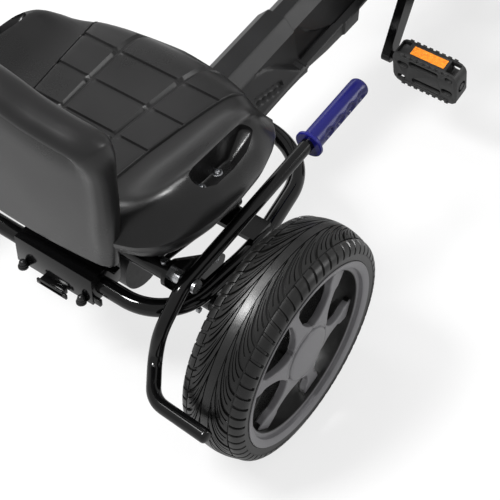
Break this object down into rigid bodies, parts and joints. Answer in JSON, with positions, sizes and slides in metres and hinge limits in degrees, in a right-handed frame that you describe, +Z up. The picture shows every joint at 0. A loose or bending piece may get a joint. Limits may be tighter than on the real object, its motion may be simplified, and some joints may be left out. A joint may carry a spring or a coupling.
{
  "type": "pedal go-kart",
  "caption": "Child's pedal go-kart with bucket seat, steered front wheels, cranks with chain drive to the rear axle, and a hand lever that brakes a rear tyre.",
  "frame": {"origin": "on the ground under the middle of the kart's overall length and width", "axes": "-Y towards the nose, +Z up, +X to the rider's left"},
  "size_m": [0.596, 1.1386, 0.6423],
  "materials": {
    "frame_paint": "gloss black",
    "seat_plastic": "satin grain",
    "cover_plastic": "satin",
    "tyre": "satin",
    "rim_plastic": "satin",
    "grip_plastic": "gloss blue",
    "pedal_plastic": "satin",
    "reflector": "clear orange",
    "zinc": "plated",
    "wheel_grip": "matt"
  },
  "bodies": {
    "chassis": {"main_beam": "frame_paint", "seat_loop": "frame_paint", "pivot_tube": "frame_paint", "bearing_plate_right": "frame_paint", "bearing_plate_left": "frame_paint", "seat_crossbar": "frame_paint", "seat_rail_right": "frame_paint", "seat_rail_left": "frame_paint", "seat_posts": "frame_paint", "seat_shell": "seat_plastic", "rear_clamp": "frame_paint", "clamp_knobs": "cover_plastic", "tunnel_rear": "cover_plastic", "tunnel_front": "cover_plastic", "chain_case": "cover_plastic", "sprocket_cover": "cover_plastic", "crank_bracket": "frame_paint", "brake_pivot": "zinc", "front_crossbeam": "frame_paint", "column_foot": "frame_paint", "column_support": "frame_paint", "front_bumper": "frame_paint", "nose_cone": "cover_plastic"},
    "rear_axle": {"rear_axle": "frame_paint", "rear_right_tyre": "tyre", "rear_right_rim": "rim_plastic", "rear_right_hubcap": "rim_plastic"},
    "rear_left_wheel": {"rear_left_tyre": "tyre", "rear_left_rim": "rim_plastic", "rear_left_hubcap": "rim_plastic"},
    "front_right_wheel": {"front_right_tyre": "tyre", "front_right_rim": "rim_plastic", "front_right_hubcap": "rim_plastic"},
    "front_left_wheel": {"front_left_tyre": "tyre", "front_left_rim": "rim_plastic", "front_left_hubcap": "rim_plastic"},
    "knuckle_right": {"knuckle_right": "frame_paint"},
    "knuckle_left": {"knuckle_left": "frame_paint"},
    "tie_rod_right": {"tie_rod_right": "zinc"},
    "tie_rod_left": {"tie_rod_left": "zinc"},
    "steering": {"steering_column": "frame_paint", "steering_wheel": "wheel_grip", "steering_pad": "cover_plastic"},
    "crank": {"crankset": "frame_paint"},
    "pedal_right": {"pedal_right": "pedal_plastic", "reflectors_right": "reflector"},
    "pedal_left": {"pedal_left": "pedal_plastic", "reflectors_left": "reflector"},
    "brake": {"brake_lever": "frame_paint", "brake_grip": "grip_plastic"}
  },
  "joints": [
    {"name": "rear_axle_spin", "type": "hinge", "parent": "chassis", "child": "rear_axle", "pos_m": [0, 0.40566, 0.14], "axis": [1, 0, 0], "continuous": true},
    {"name": "rear_left_spin", "type": "hinge", "parent": "rear_axle", "child": "rear_left_wheel", "pos_m": [0.259, 0.40566, 0.14], "axis": [1, 0, 0], "continuous": true},
    {"name": "steering", "type": "hinge", "parent": "chassis", "child": "steering", "pos_m": [0, -0.37557, 0.21704], "axis": [0, 0.7809, 0.6247], "range_deg": [-25, 25]},
    {"name": "knuckle_right_turn", "type": "hinge", "parent": "chassis", "child": "knuckle_right", "pos_m": [-0.195, -0.39434, 0.14], "axis": [0, 0, 1], "range_deg": [-25, 25]},
    {"name": "front_right_spin", "type": "hinge", "parent": "knuckle_right", "child": "front_right_wheel", "pos_m": [-0.259, -0.39434, 0.14], "axis": [1, 0, 0], "continuous": true},
    {"name": "tie_rod_right_pivot", "type": "hinge", "parent": "steering", "child": "tie_rod_right", "pos_m": [-0.014, -0.34434, 0.178], "axis": [0, 0.7809, 0.6247], "range_deg": [-25, 25]},
    {"name": "knuckle_left_turn", "type": "hinge", "parent": "chassis", "child": "knuckle_left", "pos_m": [0.195, -0.39434, 0.14], "axis": [0, 0, 1], "range_deg": [-25, 25]},
    {"name": "front_left_spin", "type": "hinge", "parent": "knuckle_left", "child": "front_left_wheel", "pos_m": [0.259, -0.39434, 0.14], "axis": [1, 0, 0], "continuous": true},
    {"name": "tie_rod_left_pivot", "type": "hinge", "parent": "steering", "child": "tie_rod_left", "pos_m": [0.014, -0.34434, 0.178], "axis": [0, 0.7809, 0.6247], "range_deg": [-25, 25]},
    {"name": "crank_spin", "type": "hinge", "parent": "chassis", "child": "crank", "pos_m": [0, -0.10734, 0.243], "axis": [1, 0, 0], "continuous": true},
    {"name": "pedal_right_spin", "type": "hinge", "parent": "crank", "child": "pedal_right", "pos_m": [-0.1615, -0.07036, 0.15009], "axis": [1, 0, 0], "continuous": true},
    {"name": "pedal_left_spin", "type": "hinge", "parent": "crank", "child": "pedal_left", "pos_m": [0.1615, -0.14431, 0.33591], "axis": [1, 0, 0], "continuous": true},
    {"name": "brake_pull", "type": "hinge", "parent": "chassis", "child": "brake", "pos_m": [-0.171, 0.45666, 0.2185], "axis": [-1, 0, 0], "range_deg": [0, 4.7]}
  ],
  "couplings": [
    {"joint": "crank_spin", "follows": "rear_axle_spin", "ratio": 0.5},
    {"joint": "knuckle_right_turn", "follows": "steering", "ratio": 1},
    {"joint": "tie_rod_right_pivot", "follows": "steering", "ratio": -1},
    {"joint": "knuckle_left_turn", "follows": "steering", "ratio": 1},
    {"joint": "tie_rod_left_pivot", "follows": "steering", "ratio": -1}
  ]
}
